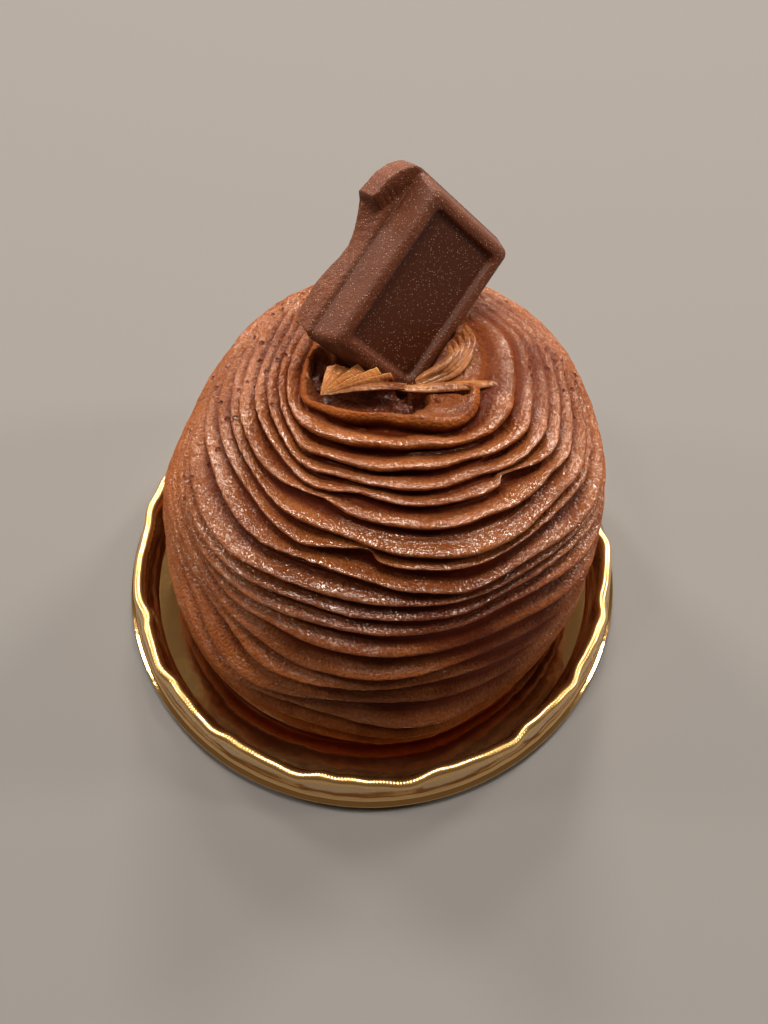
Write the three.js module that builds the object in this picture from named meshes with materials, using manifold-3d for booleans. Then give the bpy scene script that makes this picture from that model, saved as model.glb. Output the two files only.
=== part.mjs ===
import * as THREE from 'three';
import { mergeVertices } from 'three/addons/utils/BufferGeometryUtils.js';
import Module from 'manifold-3d';

// Millimetres, +Z up, the underside of the tray on z = 0.

// Foil tray
const TRAY_EDGE_RADIUS = 40.0;
const TRAY_EDGE_HEIGHT = 1.5;
const TRAY_CREST_RADIUS = 38.1;
const TRAY_CREST_HEIGHT = 7.5;
const TRAY_FLOOR_RADIUS = 35.9;
const TRAY_SHEET = 0.7;
const TRAY_LOBES = 16;
const TRAY_LOBE_STEPS = 6;
const TRAY_LOBE_DEPTH = 0.45;
const TRAY_LOBE_RISE = 0.3;
const TRAY_OVAL = 0.012;
const TRAY_OVAL_TURN = 1.07;
// Section from the underside round the lip to the floor's upper side: radius, height and share of the scallop
const TRAY_SECTION = [
  [TRAY_FLOOR_RADIUS - 0.6, 0, 0],
  [TRAY_FLOOR_RADIUS + 0.5, 0.5, 0],
  [TRAY_CREST_RADIUS - 0.9, TRAY_CREST_HEIGHT - 1.6, 0.6],
  [TRAY_CREST_RADIUS, TRAY_CREST_HEIGHT - TRAY_SHEET, 1],
  [TRAY_CREST_RADIUS + 0.35, TRAY_CREST_HEIGHT - 1.6, 0.7],
  [TRAY_EDGE_RADIUS - 1.35, TRAY_EDGE_HEIGHT + 0.1, 0],
  [TRAY_EDGE_RADIUS - 0.1, TRAY_EDGE_HEIGHT - 0.1, 0],
  [TRAY_EDGE_RADIUS, TRAY_EDGE_HEIGHT + 0.35, 0],
  [TRAY_EDGE_RADIUS - 0.75, TRAY_EDGE_HEIGHT + 0.8, 0],
  [TRAY_CREST_RADIUS + 0.95, TRAY_CREST_HEIGHT - 1.2, 0.7],
  [TRAY_CREST_RADIUS + 0.45, TRAY_CREST_HEIGHT - 0.15, 1],
  [TRAY_CREST_RADIUS - 0.35, TRAY_CREST_HEIGHT - 0.1, 1],
  [TRAY_CREST_RADIUS - 1.4, TRAY_CREST_HEIGHT - 1.4, 0.6],
  [TRAY_FLOOR_RADIUS - 0.1, TRAY_SHEET + 0.45, 0],
  [TRAY_FLOOR_RADIUS - 0.9, TRAY_SHEET, 0],
];

// Piped cream
const GAP = 0.3;
const SLIVER = 0.02;
const CREAM_FLOOR = TRAY_SHEET + GAP;
const CREAM_TOP = 55.4;
const RIDGE_PITCH = 2.75;
const RIDGE_DEPTH = 1.4;
const RIDGE_CREST = 0.42;
const RIDGE_START = 0.7;
const RIDGE_SPAN = 62.5;
const LAST_RIDGE_LIFT = 0.4;
const RING_TILT = 1.5;
const RING_TILT_TURN = 0.6;
const RING_WAVE = 0.45;
const RING_WAVES = 3;
const RING_WAVE_TWIST = 0.11;
const CALM_FOOT = 9;
const CALM_CROWN = 16;
const CREAM_FOOT = [-0.9, 2.2];
const CREAM_CROWN = [4.2, 2.7];
const CREAM_STEPS = 64;
const CROWN_ROWS = 7;
const CROWN_GAP = 0.6;
const CREAM_PROFILE = [
  [31.6, CREAM_FLOOR], [32.6, 8], [32.9, 15], [32.6, 21.5], [31.8, 28], [30.3, 35], [27.5, 42],
  [22.6, 48.5], [17.4, 52.4], [12.6, 54.6], [8.5, CREAM_TOP], [4, CREAM_TOP], [0, CREAM_TOP],
];
const CROWN_RADIUS = 16;
const CRATER = { at: [2.0, -3.4], half: [10.5, 3.7], depth: 3.0 };
const PIT = { at: [-8.6, 3.4], half: [2.6, 2.4], depth: 2.4 };
const HOLLOW_EASE = 0.55;

// Ends of the piped ribbon, spread like fans: where they start, the line of their ends, their bow and teeth
const LEFT_FAN = {
  from: [-8.6, -2.6, 56.0],
  ends: [[-7.6, 1.8, 57.0], [-3.2, 2.3, 57.0], [-0.6, 1.6, 56.8], [1.6, 0.9, 56.4], [4.2, -1.0, 55.9]],
  bow: 0,
  teeth: 5,
};
const RIGHT_FAN = {
  from: [4.6, -1.2, 55.8],
  ends: [[9.0, 6.6, 56.2], [11.0, 8.4, 56.5], [13.4, 8.6, 55.6]],
  bow: 1.5,
  teeth: 3,
};
const FAN_ROWS = [0.08, 0.4, 0.7, 1.0];
const FAN_RIDGE = 0.45;
const FAN_VALLEY = -0.35;
const FAN_ROOT = 2.2;
const FAN_ROOT_GROWTH = 2.4;

// Chocolate bar piece, its own axes: x across, y along, z out of the moulded face
const PIECE_WIDTH = 19.6;
const PIECE_LENGTH = 26.6;
const PIECE_CORNER = 1.0;
const TILE_HEIGHT = 4.0;
const TILE_SLOPE = 1.3;
const SLAB_HEIGHT = 3.8;
const FRAME_WIDTH = 2.4;
const PANEL_DEPTH = 0.9;
// Broken left side of the slab: how far its edge, foot and lobe stand out, and where they lie along the piece
const BREAK_EDGE = 0.25;
const BREAK_FOOT = 1.0;
const BREAK_FOOT_SPAN = [0, -6];
const BREAK_LOBE = 3.5;
const BREAK_LOBE_START = [2, 6];
const BREAK_LOBE_END = [8, 14];
const BREAK_POINTS = 9;
const PIECE_AT = new THREE.Vector3(3.35, 11.87, 60.99);
const PIECE_ALONG = new THREE.Vector3(0.534, 0.700, 0.474);
const PIECE_OUT = new THREE.Vector3(0.577, -0.712, 0.401);
// Levels from the back to the sunk panel: height, inset and share of the broken side
const PIECE_LEVELS = [
  [-SLAB_HEIGHT, 0.5, 0.8],
  [-SLAB_HEIGHT + 0.6, 0, 1],
  [-1.6, 0, 1],
  [-0.6, 0, 0.9],
  [-0.1, 0.3, 0.15],
  [0.15, 0.4, 0],
  [TILE_HEIGHT - 0.5, TILE_SLOPE, 0],
  [TILE_HEIGHT, TILE_SLOPE + 0.5, 0],
  [TILE_HEIGHT, TILE_SLOPE + FRAME_WIDTH - 0.4, 0],
  [TILE_HEIGHT - PANEL_DEPTH, TILE_SLOPE + FRAME_WIDTH, 0],
];
// Levels of the room that the piece takes in the cream
const SOCKET_LEVELS = [
  [-SLAB_HEIGHT - GAP, -GAP, 1],
  [-0.2, -GAP, 1],
  [0.2 + GAP, -GAP, 0],
  [TILE_HEIGHT + GAP, TILE_SLOPE - 2 * GAP, 0],
];

const TAU = 2 * Math.PI;
const smooth = (a, b, x) => {
  const t = Math.min(Math.max((x - a) / (b - a), 0), 1);
  return t * t * (3 - 2 * t);
};

const wasm = await Module();
wasm.setup();

// Closed surface from rows of points that run round the same way, a cap point at each end
function ringSolid(rows, first, last) {
  const count = rows[0].length;
  const points = [first, ...rows.flat(), last];
  const faces = [];
  const id = (row, step) => 1 + row * count + (step % count);
  for (let step = 0; step < count; step += 1) {
    faces.push(0, id(0, step + 1), id(0, step));
    for (let row = 0; row + 1 < rows.length; row += 1) {
      faces.push(id(row, step), id(row, step + 1), id(row + 1, step + 1));
      faces.push(id(row, step), id(row + 1, step + 1), id(row + 1, step));
    }
    faces.push(points.length - 1, id(rows.length - 1, step), id(rows.length - 1, step + 1));
  }
  const geometry = new THREE.BufferGeometry();
  geometry.setAttribute('position', new THREE.Float32BufferAttribute(points.flat(), 3));
  geometry.setIndex(faces);
  return geometry;
}

// Closed strip: loops of points, each loop one cross-section
function strip(loops) {
  const middle = (loop) => [0, 1, 2].map((axis) => loop.reduce((sum, p) => sum + p[axis], 0) / loop.length);
  return ringSolid(loops, middle(loops[0]), middle(loops[loops.length - 1]));
}

function toManifold(geometry) {
  const bare = geometry.clone();
  bare.deleteAttribute('normal');
  bare.deleteAttribute('uv');
  const merged = mergeVertices(bare, 1e-4);
  return new wasm.Manifold(new wasm.Mesh({
    numProp: 3,
    vertProperties: new Float32Array(merged.getAttribute('position').array),
    triVerts: new Uint32Array(merged.getIndex().array),
  }));
}

function toGeometry(solid) {
  const mesh = solid.getMesh();
  const geometry = new THREE.BufferGeometry();
  geometry.setAttribute('position', new THREE.BufferAttribute(new Float32Array(mesh.vertProperties), 3));
  geometry.setIndex(Array.from(mesh.triVerts));
  return geometry;
}

// Tray: one thin sheet turned round the axis, floor, wall, scalloped crest and skirt
function tray() {
  const steps = TRAY_LOBES * TRAY_LOBE_STEPS;
  const rows = TRAY_SECTION.map(([radius, height, share]) => Array.from({ length: steps }, (_, step) => {
    const turn = step / steps * TAU;
    const lobe = share * (1 - 2 * Math.abs(Math.sin(turn * TRAY_LOBES / 2)));
    const oval = 1 + TRAY_OVAL * Math.cos(2 * (turn - TRAY_OVAL_TURN));
    const r = radius * oval + TRAY_LOBE_DEPTH * lobe;
    return [r * Math.cos(turn), r * Math.sin(turn), height + TRAY_LOBE_RISE * lobe];
  }));
  return ringSolid(rows, [0, 0, 0], [0, 0, TRAY_SHEET]);
}

// Hollow with an oval outline in plan
function dent(hollow, x, y) {
  const u = (x - hollow.at[0]) / hollow.half[0];
  const v = (y - hollow.at[1]) / hollow.half[1];
  return hollow.depth * smooth(0, HOLLOW_EASE, 1 - u * u - v * v);
}

// Dome: wavy ridged rings stacked along the profile, then the hollowed crown
function dome() {
  const curve = new THREE.SplineCurve(CREAM_PROFILE.map(([r, z]) => new THREE.Vector2(r, z)));
  curve.arcLengthDivisions = 800;
  const length = curve.getLength();
  const marks = [{ s: 0, lift: 0 }];
  for (let s = RIDGE_START; s < RIDGE_SPAN; s += RIDGE_PITCH) {
    marks.push({ s: s + RIDGE_CREST * RIDGE_PITCH, lift: 0.5 * RIDGE_DEPTH });
    marks.push({ s: s + RIDGE_PITCH, lift: -0.5 * RIDGE_DEPTH });
  }
  const start = marks[marks.length - 1].s;
  for (let row = 1; row <= CROWN_ROWS; row += 1) {
    const inward = (length - start) * row / (CROWN_ROWS + CROWN_GAP);
    marks.push({ s: start + inward, lift: row === 1 ? LAST_RIDGE_LIFT : 0 });
  }
  const rows = marks.map(({ s, lift }) => Array.from({ length: CREAM_STEPS }, (_, step) => {
    const turn = step / CREAM_STEPS * TAU;
    const calm = smooth(0, CALM_FOOT, s) * smooth(length, length - CALM_CROWN, s);
    const lean = RING_TILT * Math.sin(turn - RING_TILT_TURN);
    const wave = lean + RING_WAVE * Math.sin(RING_WAVES * turn + RING_WAVE_TWIST * s);
    const at = Math.min(Math.max((s + calm * wave) / length, 0), 1);
    const point = curve.getPointAt(at);
    const tangent = curve.getTangentAt(at);
    const r = point.x + lift * tangent.y;
    const z = Math.max(point.y - lift * tangent.x, CREAM_FLOOR);
    const rise = z / CREAM_TOP;
    const x = THREE.MathUtils.lerp(CREAM_FOOT[0], CREAM_CROWN[0], rise) + r * Math.cos(turn);
    const y = THREE.MathUtils.lerp(CREAM_FOOT[1], CREAM_CROWN[1], rise) + r * Math.sin(turn);
    const hollow = point.x < CROWN_RADIUS ? dent(CRATER, x, y) + dent(PIT, x, y) : 0;
    return [x, y, z - hollow];
  }));
  const [x, y] = CREAM_CROWN;
  const top = CREAM_TOP - dent(CRATER, x, y);
  return ringSolid(rows, [CREAM_FOOT[0], CREAM_FOOT[1], CREAM_FLOOR], [x, y, top]);
}

// Fan of piped ridges that spreads from one point along bowed lines to a toothed end
function fan({ from, ends, bow, teeth }) {
  const across = teeth * 2;
  const track = new THREE.CatmullRomCurve3(ends.map((p) => new THREE.Vector3(...p)));
  const loops = FAN_ROWS.map((along) => {
    const top = [];
    const under = [];
    for (let k = 0; k <= across; k += 1) {
      const end = track.getPoint(k / across);
      const ridge = (k % 2 ? FAN_RIDGE : FAN_VALLEY) * along;
      const side = bow * 4 * along * (1 - along);
      const x = from[0] + along * (end.x - from[0]) + side;
      const y = from[1] + along * (end.y - from[1]) - side;
      const z = from[2] + along * (end.z - from[2]) + ridge;
      top.push([x, y, z]);
      under.unshift([x, y, z - FAN_ROOT - FAN_ROOT_GROWTH * along]);
    }
    return [...top, ...under];
  });
  return strip(loops);
}

// Outline of the chocolate piece drawn in by an inset, its left side broken off along a hollow curve
function outline(inset, broken) {
  const hx = PIECE_WIDTH / 2 - inset;
  const hy = PIECE_LENGTH / 2 - inset;
  const c = PIECE_CORNER;
  const corner = (x, y, turn) => [0, 1, 2].map((k) => {
    const a = (turn + k / 2) * Math.PI / 2;
    return [x + c * Math.cos(a), y + c * Math.sin(a)];
  });
  const step = 2 * (hy - c) / (BREAK_POINTS + 1);
  const left = Array.from({ length: BREAK_POINTS }, (_, k) => [-hx, hy - c - step * (k + 1)]);
  const loop = [
    ...corner(hx - c, hy - c, 0), ...corner(-hx + c, hy - c, 1), ...left,
    ...corner(-hx + c, -hy + c, 2), ...corner(hx - c, -hy + c, 3),
  ];
  return loop.map(([x, y]) => {
    if (!broken || x > -hx + c) {
      return [x, y];
    }
    const lobe = BREAK_LOBE * smooth(...BREAK_LOBE_START, y) * (1 - smooth(...BREAK_LOBE_END, y));
    const foot = BREAK_FOOT * smooth(...BREAK_FOOT_SPAN, y);
    return [x - broken * (BREAK_EDGE + lobe + foot), y];
  });
}

function loft(levels) {
  const loops = levels.map(([z, inset, broken]) => outline(inset, broken).map(([x, y]) => [x, y, z]));
  const low = levels[0][0];
  const high = levels[levels.length - 1][0];
  return ringSolid(loops, [0, 0, low], [0, 0, high]);
}

const along = PIECE_ALONG.clone().normalize();
const out = PIECE_OUT.clone().addScaledVector(along, -PIECE_OUT.dot(along)).normalize();
const pose = new THREE.Matrix4().makeBasis(along.clone().cross(out), along, out).setPosition(PIECE_AT);

function chocolate() {
  return loft(PIECE_LEVELS).applyMatrix4(pose);
}

function socket() {
  return loft(SOCKET_LEVELS).applyMatrix4(pose);
}

function cream() {
  const fans = toManifold(fan(LEFT_FAN)).add(toManifold(fan(RIGHT_FAN)));
  const whole = toManifold(dome()).add(fans).subtract(toManifold(socket()));
  const bodies = whole.decompose().sort((a, b) => b.volume() - a.volume());
  return toGeometry(bodies[0].simplify(SLIVER));
}

function part(name, geometry, color, roughness, metalness) {
  const mesh = new THREE.Mesh(geometry, new THREE.MeshStandardMaterial({ color, roughness, metalness }));
  mesh.name = name;
  return mesh;
}

const root = new THREE.Group();
root.name = 'mont_blanc';
root.add(part('tray', tray(), 0xd9b25a, 0.16, 1.0));
root.add(part('cream', cream(), 0x8a5433, 0.5, 0.0));
root.add(part('chocolate', chocolate(), 0x5a3222, 0.45, 0.0));

export default root;
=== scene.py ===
"""Chocolate mont blanc in a gold foil tray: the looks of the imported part, worked out as surfaces.

Every new piece is a grid of points in millimetres, computed with numpy from the sizes in the settings.
"""

import math

import bpy
import numpy as np
from bpy.props import FloatProperty, FloatVectorProperty, IntProperty, PointerProperty
from mathutils import Matrix, Vector


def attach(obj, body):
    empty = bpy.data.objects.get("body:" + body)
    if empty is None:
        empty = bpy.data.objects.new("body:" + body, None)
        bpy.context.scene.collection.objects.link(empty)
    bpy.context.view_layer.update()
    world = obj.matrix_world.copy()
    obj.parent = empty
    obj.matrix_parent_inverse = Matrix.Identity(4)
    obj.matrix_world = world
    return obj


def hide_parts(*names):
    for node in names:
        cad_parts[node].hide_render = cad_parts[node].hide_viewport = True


bl_info = {
    "name": "Mont blanc pastry",
    "version": (1, 0, 0),
    "blender": (4, 5, 0),
    "location": "View3D > Sidebar > Pastry",
    "description": "Builds a piped chocolate mont blanc in a gold foil tray",
    "category": "Object",
}

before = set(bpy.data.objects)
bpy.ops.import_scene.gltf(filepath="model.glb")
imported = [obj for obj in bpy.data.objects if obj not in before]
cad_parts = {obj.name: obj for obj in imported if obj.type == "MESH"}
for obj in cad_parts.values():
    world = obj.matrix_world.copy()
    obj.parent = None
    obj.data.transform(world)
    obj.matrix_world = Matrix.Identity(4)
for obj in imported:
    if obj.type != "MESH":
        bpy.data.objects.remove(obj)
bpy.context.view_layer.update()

MM = 0.001
TAU = 2 * math.pi


def linear(code):
    """Turns an sRGB hex value into linear red, green and blue by the standard curve."""
    channels = [int(code[at:at + 2], 16) / 255 for at in (1, 3, 5)]
    return tuple(c / 12.92 if c <= 0.04045 else ((c + 0.055) / 1.055) ** 2.4 for c in channels)


def smooth(low, high, value):
    """Eases from 0 at low to 1 at high along the cubic 3t^2 - 2t^3."""
    t = np.clip((value - low) / (high - low), 0, 1)
    return t * t * (3 - 2 * t)


def length(name, description, size):
    """A length setting with a default in millimetres, kept in metres."""
    return FloatProperty(name=name, description=description, default=size * MM, unit="LENGTH", precision=5)


def colour(name, description, code):
    """A colour setting with an sRGB hex default, kept linear."""
    return FloatVectorProperty(
        name=name, description=description, default=linear(code), subtype="COLOR", size=3,
    )


class TraySettings(bpy.types.PropertyGroup):
    """Sizes and finish of the foil tray."""

    edge_radius: length("Edge radius", "Radius of the tray's outer lip", 40.0)
    crest_radius: length("Crest radius", "Radius of the top of the rim", 38.1)
    crest_height: length("Crest height", "Height of the top of the rim", 7.5)
    floor_radius: length("Floor radius", "Radius where the floor turns up into the wall", 35.9)
    floor_sheet: length("Floor height", "Height of the floor's upper side", 0.7)
    sheet: length("Sheet", "Thickness of the foil in the rim", 0.35)
    lobes: IntProperty(name="Lobes", description="Scallops round the crest", default=16, min=3)
    lobe_depth: length("Lobe depth", "How far the crest steps in at each scallop", 0.75)
    pleat: length("Pleat", "Width of the fine crimps along the crest", 0.5)
    oval: FloatProperty(name="Oval", description="Share by which the tray is out of round", default=0.012)
    gold: colour("Gold", "Colour of the lacquered foil", "#EABF7C")


class CreamSettings(bpy.types.PropertyGroup):
    """Sizes and finish of the piped cream."""

    floor: length("Floor", "Height of the underside", 1.0)
    top: length("Top", "Height of the crown", 55.4)
    depth: length("Ridge depth", "Depth of the grooves", 2.2)
    droop: length("Ridge droop", "How far a ridge's edge hangs over the groove below", 0.45)
    # Painted light and shade: the crest colour is painted light on the ridge edges, the groove colour painted
    # shade in the grooves, the sheen colour a painted sheen on the ledges, and the ribbon colour painted
    # light on the ribbon ends
    lit: colour("Crest colour", "Colour of the drier ridge edges", "#884A1E")
    sheen: colour("Sheen colour", "Colour of the fine sheen on the ledges", "#DDB392")
    body: colour("Cream colour", "Colour of the cream", "#5C270E")
    groove: colour("Groove colour", "Colour of the moist grooves", "#521B06")
    ribbon: colour("Ribbon colour", "Colour of the ribbon ends on the crown", "#D08C50")


class ChocolateSettings(bpy.types.PropertyGroup):
    """Sizes and finish of the chocolate bar piece."""

    width: length("Width", "Width of the bar piece at its slab", 19.6)
    length: length("Length", "Length of the bar piece at its slab", 26.6)
    corner: length("Corner", "Radius of the corners", 1.0)
    lip: length("Lip", "How far above the middle the broken lobe starts", 5.9)
    brown: colour("Chocolate colour", "Colour of the moulded chocolate", "#482010")
    # The paler colour is partly the break's own and partly painted light on the break, rim and bevel
    broken_and_lit: colour("Bloom colour", "Colour of the rubbed and broken edges", "#80462A")
    # Colour of the painted glints, fine pale specks
    painted_glint: colour("Crystal colour", "Colour of the fine crystals", "#D9B79A")


class StageSettings(bpy.types.PropertyGroup):
    """Camera, light and floor."""

    lens: FloatProperty(
        name="Lens", description="Focal length on a 36 mm frame", default=49.92, unit="CAMERA",
    )
    roll: FloatProperty(
        name="Roll", description="Turn about the line of sight", default=math.radians(2.5), subtype="ANGLE",
    )
    floor: colour("Floor colour", "Colour of the plain floor", "#7A797A")


# Profile of the cream from foot to crown: radius and height in millimetres
CREAM_PROFILE = [
    (31.6, 1.0), (32.6, 8), (32.9, 15), (32.6, 21.5), (31.8, 28), (30.3, 35), (27.5, 42),
    (22.6, 48.5), (17.4, 52.4), (12.6, 54.6), (8.5, 55.4), (4, 55.4), (0, 55.4),
]
# Where the leaning axis of the cream meets its foot and its crown, and the points round it
CREAM_FOOT = np.array([-0.9, 2.2])
CREAM_CROWN = np.array([4.2, 2.7])
CREAM_COLUMNS = 300


def spline(points, samples=60):
    """Catmull-Rom curve: each span is a cubic that leaves an end along half the chord of its neighbours."""
    p = np.asarray(points, float)
    start = p[:-1, None]
    end = p[1:, None]
    leave = (end - np.vstack([p[:1], p[:-2]])[:, None]) / 2
    arrive = (np.vstack([p[2:], p[-1:]])[:, None] - start) / 2
    t = np.linspace(0, 1, samples, endpoint=False)[None, :, None]
    spans = (2 * start - 2 * end + leave + arrive) * t ** 3
    spans += (3 * end - 3 * start - 2 * leave - arrive) * t ** 2 + leave * t + start
    return np.vstack([spans.reshape(-1, p.shape[1]), p[-1:]])


def run_length(curve):
    """Distance along a curve from its start to each of its points."""
    steps = np.linalg.norm(np.diff(curve, axis=0), axis=1)
    return np.concatenate([[0], np.cumsum(steps)])


def along(curve, run):
    """Points of a curve at the given distances from its start."""
    total = run_length(curve)
    return np.stack([np.interp(run, total, axis) for axis in curve.T], -1)


def ripple(turn, run, seed, waves, around, up):
    """Smooth unevenness, about 1 high: a sum of seeded sines that go round a whole number of times."""
    draw = np.random.default_rng(seed)
    total = 0
    for _ in range(waves):
        count = draw.integers(around[0], around[1] + 1)
        climb = draw.uniform(-1, 1) * TAU / up
        total = total + np.sin(count * turn + climb * run + draw.uniform(0, TAU))
    return total * math.sqrt(2 / waves)


def grain(rows, columns, seed, blur):
    """Seeded random relief of about 1, evened out over neighbours, the same at both ends of a row."""
    field = np.random.default_rng(seed).normal(size=(rows, columns))
    for _ in range(blur):
        field = (field + np.roll(field, 1, 0) + np.roll(field, 1, 1)) / 3
    return field / field.std()


def surface(name, points, caps, marks, chart=None):
    """Closed mesh of a grid of points in millimetres: rows that run round, with a cap point at each end.

    marks names numbers for each grid point, kept as attributes. chart is the size in millimetres of the UV
    map's unrolled sheet. A grid that comes out inside out is turned round.
    """
    rows, columns = points.shape[:2]
    index = np.arange(rows * columns).reshape(rows, columns)
    right = np.roll(index, -1, axis=1)
    quads = np.stack([index[:-1], right[:-1], right[1:], index[1:]], -1).reshape(-1, 4)
    first = np.full(columns, rows * columns)
    tris = np.vstack([
        np.stack([first, right[0], index[0]], -1),
        np.stack([first + 1, index[-1], right[-1]], -1),
    ])
    spots = np.vstack([points.reshape(-1, 3), np.asarray(caps, float)])
    halves = np.vstack([quads[:, :3], quads[:, [0, 2, 3]], tris])
    a, b, c = (spots[halves[:, k]] for k in range(3))
    inside_out = np.einsum("ij,ij->", a, np.cross(b, c)) < 0
    if inside_out:
        quads = quads[:, ::-1]
        tris = tris[:, ::-1]
    mesh = bpy.data.meshes.new(name)
    mesh.from_pydata(spots * MM, [], quads.tolist() + tris.tolist())
    mesh.polygons.foreach_set("use_smooth", np.ones(len(mesh.polygons), bool))
    if chart is not None:
        column = np.arange(columns)
        row = np.arange(rows - 1)[:, None]
        corner = [(row, column), (row, column + 1), (row + 1, column + 1), (row + 1, column)]
        corner = corner[::-1] if inside_out else corner
        flat = [np.broadcast_arrays(u * chart[0] / columns, v * chart[1] / (rows - 1)) for v, u in corner]
        sheet = np.stack([np.stack(pair, -1) for pair in flat], -2).reshape(-1, 2)
        sheet = np.vstack([sheet, np.zeros((len(tris) * 3, 2))])
        mesh.uv_layers.new(name="sheet").data.foreach_set("uv", sheet.ravel())
    for title, mark in marks.items():
        values = np.concatenate([np.ravel(mark), [mark[0].mean(), mark[-1].mean()]]).astype(np.float32)
        mesh.attributes.new(title, "FLOAT", "POINT").data.foreach_set("value", values)
    mesh.update()
    piece = bpy.data.objects.new(name, mesh)
    bpy.context.scene.collection.objects.link(piece)
    return piece


def dress(piece, material, node=None):
    """Gives a piece its material and its body, and hides the part that it stands for."""
    piece.data.materials.append(material)
    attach(piece, "root")
    if node:
        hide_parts(node)


def add(tree, kind, sockets=None, **settings):
    """Adds a node with its settings. A socket that is given another node's output is linked to it."""
    made = tree.nodes.new(kind)
    for name, value in settings.items():
        setattr(made, name, value)
    for name, value in (sockets or {}).items():
        if isinstance(value, bpy.types.NodeSocket):
            tree.links.new(value, made.inputs[name])
        else:
            made.inputs[name].default_value = value
    return made


def calc(tree, operation, *values):
    """Output of a math node on numbers and the outputs of other nodes."""
    return add(tree, "ShaderNodeMath", dict(enumerate(values)), operation=operation).outputs["Value"]


def blank(name):
    """A new node material, its tree emptied, and its output node."""
    material = bpy.data.materials.new(name)
    material.use_nodes = True
    material.node_tree.nodes.clear()
    return material, material.node_tree, add(material.node_tree, "ShaderNodeOutputMaterial")


def per_mm(size):
    """Noise scale in Object coordinates for a pattern of this size in millimetres."""
    return 1 / (size * MM)


def foil_material(c):
    """Gold lacquered foil, drawn and crimped: mirror bright, broken up by small dents and fine pleats."""
    material, tree, output = blank("gold lacquered foil")
    here = add(tree, "ShaderNodeTexCoord").outputs["Object"]
    sheet = add(tree, "ShaderNodeUVMap", uv_map="sheet").outputs["UV"]
    crest = add(tree, "ShaderNodeAttribute", attribute_name="crest").outputs["Fac"]
    dents, rolled = (
        add(tree, "ShaderNodeTexNoise", {"Vector": here, "Scale": per_mm(mm), "Detail": steps}).outputs["Fac"]
        for mm, steps in ((4.0, 2.0), (0.6, 3.0))
    )
    # A wave texture of scale 1 repeats every 2 pi / 20 units, and the sheet is charted in millimetres
    pleats = add(tree, "ShaderNodeTexWave", {"Vector": sheet, "Scale": TAU / 20 / (c.pleat / MM)})
    wave = pleats.outputs["Fac"]
    beads = calc(tree, "MULTIPLY", wave, crest)
    even = add(tree, "ShaderNodeMapRange", {"Value": rolled, "To Min": 0.07, "To Max": 0.15})
    # The crimped crest is duller than the floor and the lip
    rough = calc(tree, "MULTIPLY_ADD", crest, 0.2, even.outputs["Result"])
    soft = add(tree, "ShaderNodeBump", {"Height": dents, "Strength": 0.4, "Distance": 0.25 * MM})
    bump = add(tree, "ShaderNodeBump", {
        "Height": beads, "Strength": 0.3, "Distance": 0.08 * MM, "Normal": soft.outputs["Normal"],
    })
    shader = add(tree, "ShaderNodeBsdfPrincipled", {
        "Base Color": (*c.gold, 1),
        "Metallic": 1.0,
        "Roughness": rough,
        "Normal": bump.outputs["Normal"],
        "Coat Weight": 1.0,
        "Coat Roughness": 0.08,
    })
    tree.links.new(shader.outputs["BSDF"], output.inputs["Surface"])
    return material


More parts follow.
